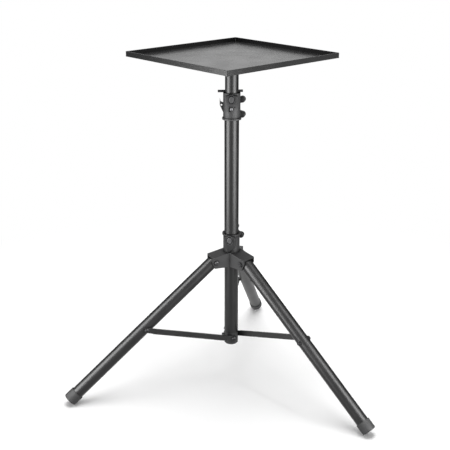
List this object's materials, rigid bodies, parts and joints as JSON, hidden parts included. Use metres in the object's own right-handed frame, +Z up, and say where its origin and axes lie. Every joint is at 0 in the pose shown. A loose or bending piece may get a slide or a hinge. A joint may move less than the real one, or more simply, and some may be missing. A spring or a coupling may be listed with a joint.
{
  "type": "portable projector stand",
  "caption": "Folding tripod stand with a flat square rimmed tray on a telescoping column, used to hold a projector or laptop; legs fold along the column.",
  "frame": {"origin": "on the floor, on the axis of the column, with the stand at its lowest height and the legs open", "axes": "+Z up along the column, X and Y along the edges of the square tray, front is -Y"},
  "size_m": [0.7571, 0.7028, 0.851],
  "materials": {
    "painted_tube": "satin black paint on steel tube",
    "painted_strip": "satin black paint on steel strip",
    "painted_tray": "fine textured black paint on folded sheet steel",
    "moulded_plastic": "moulded black plastic",
    "knob_plastic": "moulded black plastic",
    "foot_rubber": "matte black rubber",
    "steel_hardware": "zinc plated steel",
    "black_hardware": "black zinc plated steel"
  },
  "bodies": {
    "column": {"column_tube": "painted_tube", "base_plug": "moulded_plastic", "upper_collar": "moulded_plastic", "collar_screw": "steel_hardware", "base_screw_front": "black_hardware", "base_screw_left": "black_hardware", "base_screw_right": "black_hardware"},
    "hub": {"hub_spider": "moulded_plastic", "leg_bolt_front": "black_hardware", "leg_bolt_left": "black_hardware", "leg_bolt_right": "black_hardware"},
    "mast": {"mast_tube": "painted_tube", "tray_pan": "painted_tray", "tray_flange": "painted_tray", "tray_screws": "steel_hardware"},
    "pin": {"height_pin": "steel_hardware"},
    "upper_knob": {"collar_knob": "knob_plastic", "collar_knob_stud": "steel_hardware"},
    "lower_knob": {"hub_knob": "knob_plastic", "hub_knob_stud": "steel_hardware"},
    "front_leg": {"leg_tube_front": "painted_tube", "foot_cap_front": "foot_rubber", "leg_nut_front": "black_hardware"},
    "front_brace": {"brace_front": "painted_strip", "brace_bolt_front": "black_hardware"},
    "left_leg": {"leg_tube_left": "painted_tube", "foot_cap_left": "foot_rubber", "leg_nut_left": "black_hardware"},
    "left_brace": {"brace_left": "painted_strip", "brace_bolt_left": "black_hardware"},
    "right_leg": {"leg_tube_right": "painted_tube", "foot_cap_right": "foot_rubber", "leg_nut_right": "black_hardware"},
    "right_brace": {"brace_right": "painted_strip", "brace_bolt_right": "black_hardware"}
  },
  "joints": [
    {"name": "hub_slide", "type": "slide", "parent": "column", "child": "hub", "axis": [0, 0, 1], "range_m": [0, 0.2552]},
    {"name": "front_leg_fold", "type": "hinge", "parent": "hub", "child": "front_leg", "pos_m": [0.00537, -0.04569, 0.3368], "axis": [0.9932, 0.1167, 0], "range_deg": [0, 49.51]},
    {"name": "left_leg_fold", "type": "hinge", "parent": "hub", "child": "left_leg", "pos_m": [-0.04225, 0.01819, 0.3368], "axis": [-0.3955, -0.9184, 0], "range_deg": [0, 49.51]},
    {"name": "right_leg_fold", "type": "hinge", "parent": "hub", "child": "right_leg", "pos_m": [0.03688, 0.02749, 0.3368], "axis": [-0.5976, 0.8018, 0], "range_deg": [0, 49.51]},
    {"name": "front_brace_fold", "type": "hinge", "parent": "column", "child": "front_brace", "pos_m": [0, 0, 0.12], "axis": [-0.9932, -0.1167, 0], "range_deg": [0, 63.86]},
    {"name": "left_brace_fold", "type": "hinge", "parent": "column", "child": "left_brace", "pos_m": [0, 0, 0.12], "axis": [0.3955, 0.9184, 0], "range_deg": [0, 63.86]},
    {"name": "right_brace_fold", "type": "hinge", "parent": "column", "child": "right_brace", "pos_m": [0, 0, 0.12], "axis": [0.5976, -0.8018, 0], "range_deg": [0, 63.86]},
    {"name": "mast_slide", "type": "slide", "parent": "column", "child": "mast", "axis": [0, 0, 1], "range_m": [0, 0.4]},
    {"name": "pin_pull", "type": "slide", "parent": "mast", "child": "pin", "axis": [-0.788, 0.6157, 0], "range_m": [0, 0.065]},
    {"name": "upper_knob_turn", "type": "hinge", "parent": "column", "child": "upper_knob", "pos_m": [0, 0, 0.715], "axis": [0.8018, 0.5976, 0], "range_deg": [0, 300]},
    {"name": "lower_knob_turn", "type": "hinge", "parent": "hub", "child": "lower_knob", "pos_m": [0, 0, 0.3908], "axis": [0.8018, 0.5976, 0], "range_deg": [0, 300]}
  ],
  "couplings": [
    {"joint": "front_leg_fold", "follows": "hub_slide", "rad_per_m": 3.3853},
    {"joint": "left_leg_fold", "follows": "hub_slide", "rad_per_m": 3.3853},
    {"joint": "right_leg_fold", "follows": "hub_slide", "rad_per_m": 3.3853},
    {"joint": "front_brace_fold", "follows": "hub_slide", "rad_per_m": 4.3669},
    {"joint": "left_brace_fold", "follows": "hub_slide", "rad_per_m": 4.3669},
    {"joint": "right_brace_fold", "follows": "hub_slide", "rad_per_m": 4.3669}
  ]
}
